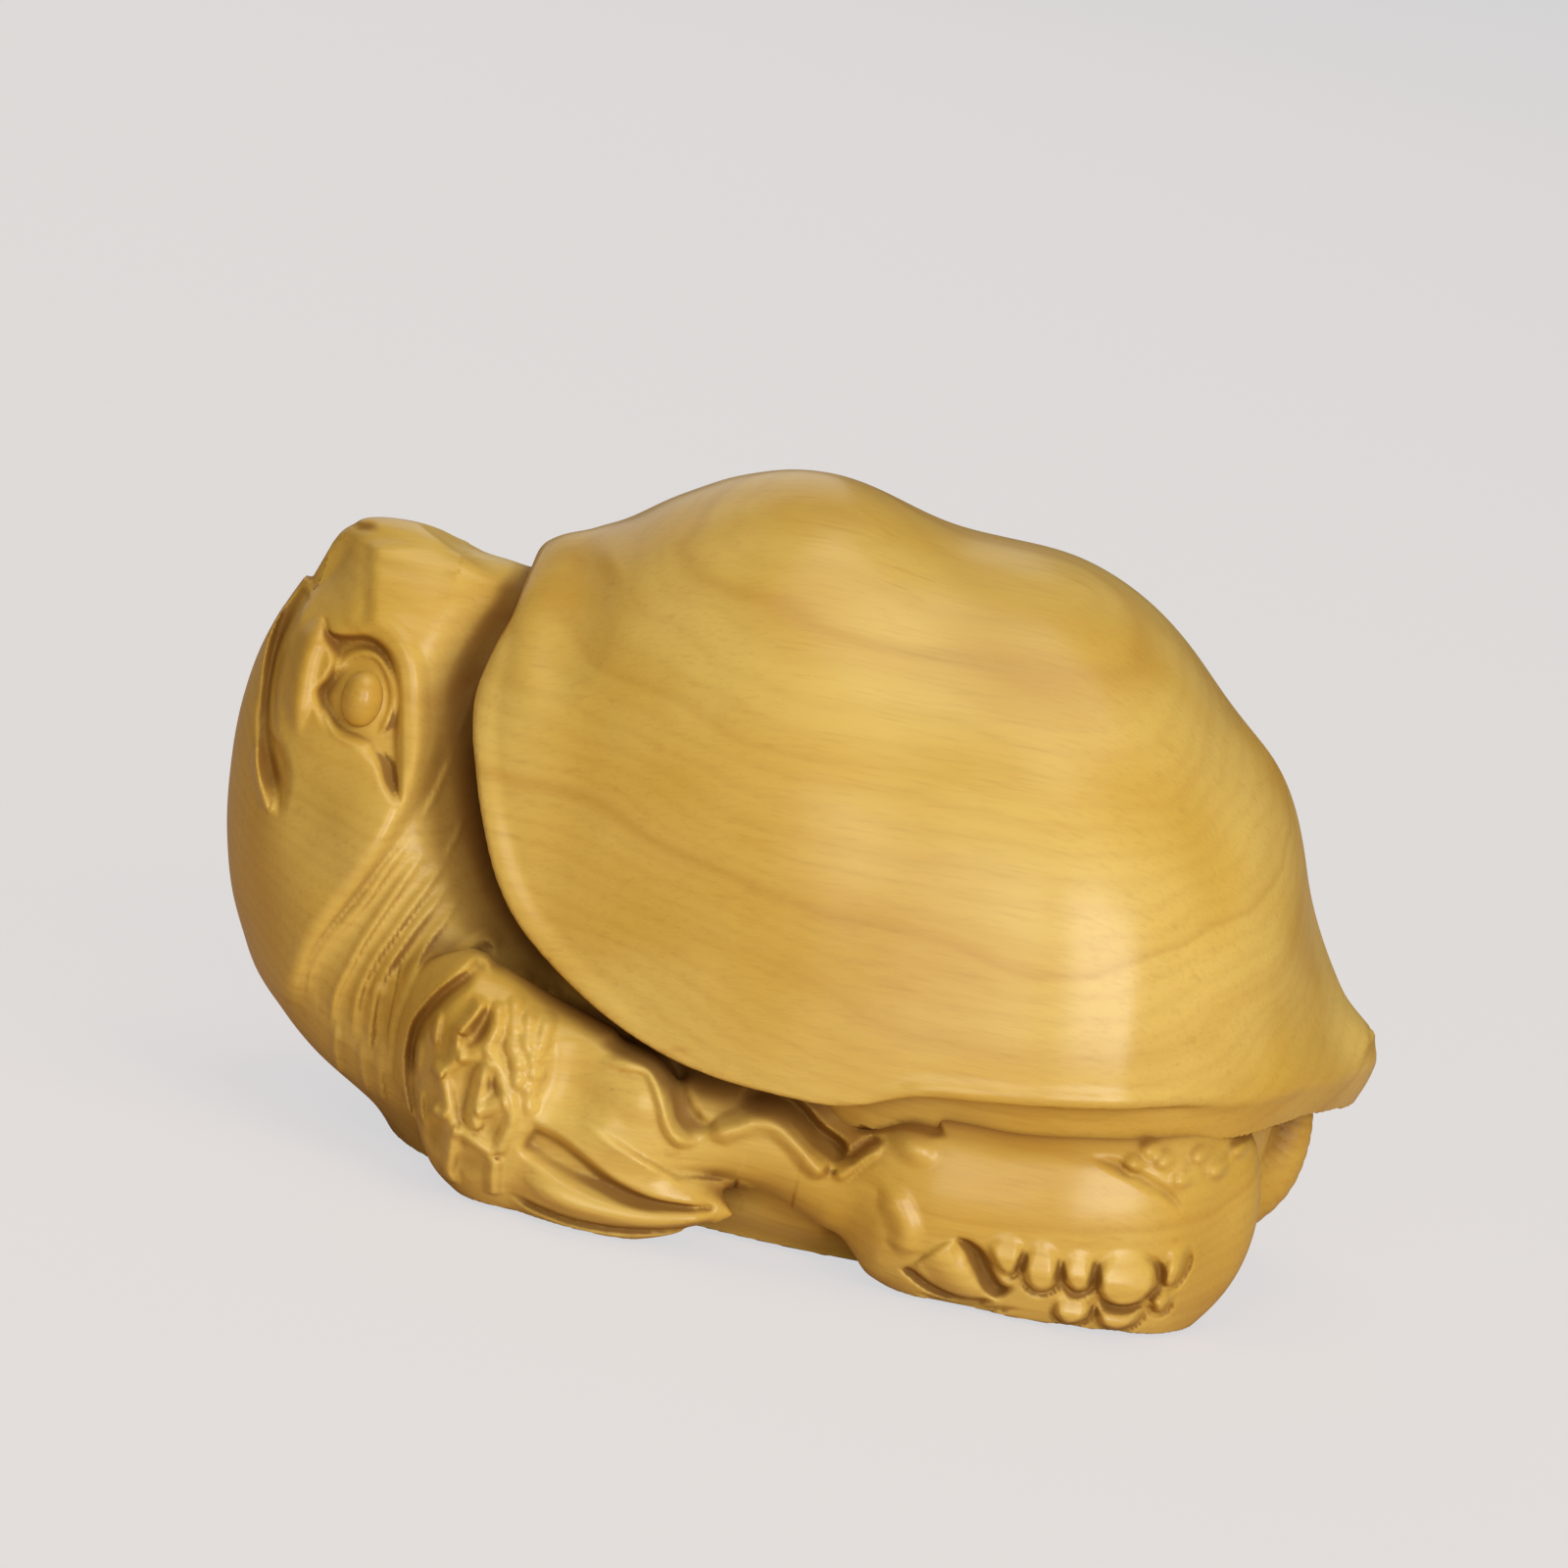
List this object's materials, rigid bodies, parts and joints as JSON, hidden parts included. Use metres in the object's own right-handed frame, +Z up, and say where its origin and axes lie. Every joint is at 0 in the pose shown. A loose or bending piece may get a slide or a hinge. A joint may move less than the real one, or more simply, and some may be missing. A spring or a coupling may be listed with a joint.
{
  "type": "turtle figurine",
  "caption": "Hand-sized boxwood carving of a turtle with a tall domed shell, raised head and tucked legs, resting on a flat belly.",
  "frame": {"origin": "centre of the box round the carving, on the surface it stands on", "axes": "+X towards the tail, +Y towards the turtle's right flank, +Z up"},
  "size_m": [0.0521, 0.036, 0.0318],
  "materials": {
    "boxwood": "satin polish"
  },
  "bodies": {
    "root": {"carapace": "boxwood", "marginal_band": "boxwood", "body": "boxwood", "neck": "boxwood", "head": "boxwood", "tail": "boxwood", "left_eye": "boxwood", "right_eye": "boxwood", "front_left_leg": "boxwood", "front_right_leg": "boxwood", "front_left_claws": "boxwood", "front_right_claws": "boxwood", "front_left_scales": "boxwood", "front_right_scales": "boxwood", "rear_left_leg": "boxwood", "rear_right_leg": "boxwood", "rear_left_claws": "boxwood", "rear_right_claws": "boxwood", "rear_left_scales": "boxwood", "rear_right_scales": "boxwood", "left_flank_fold": "boxwood", "right_flank_fold": "boxwood"}
  },
  "joints": []
}
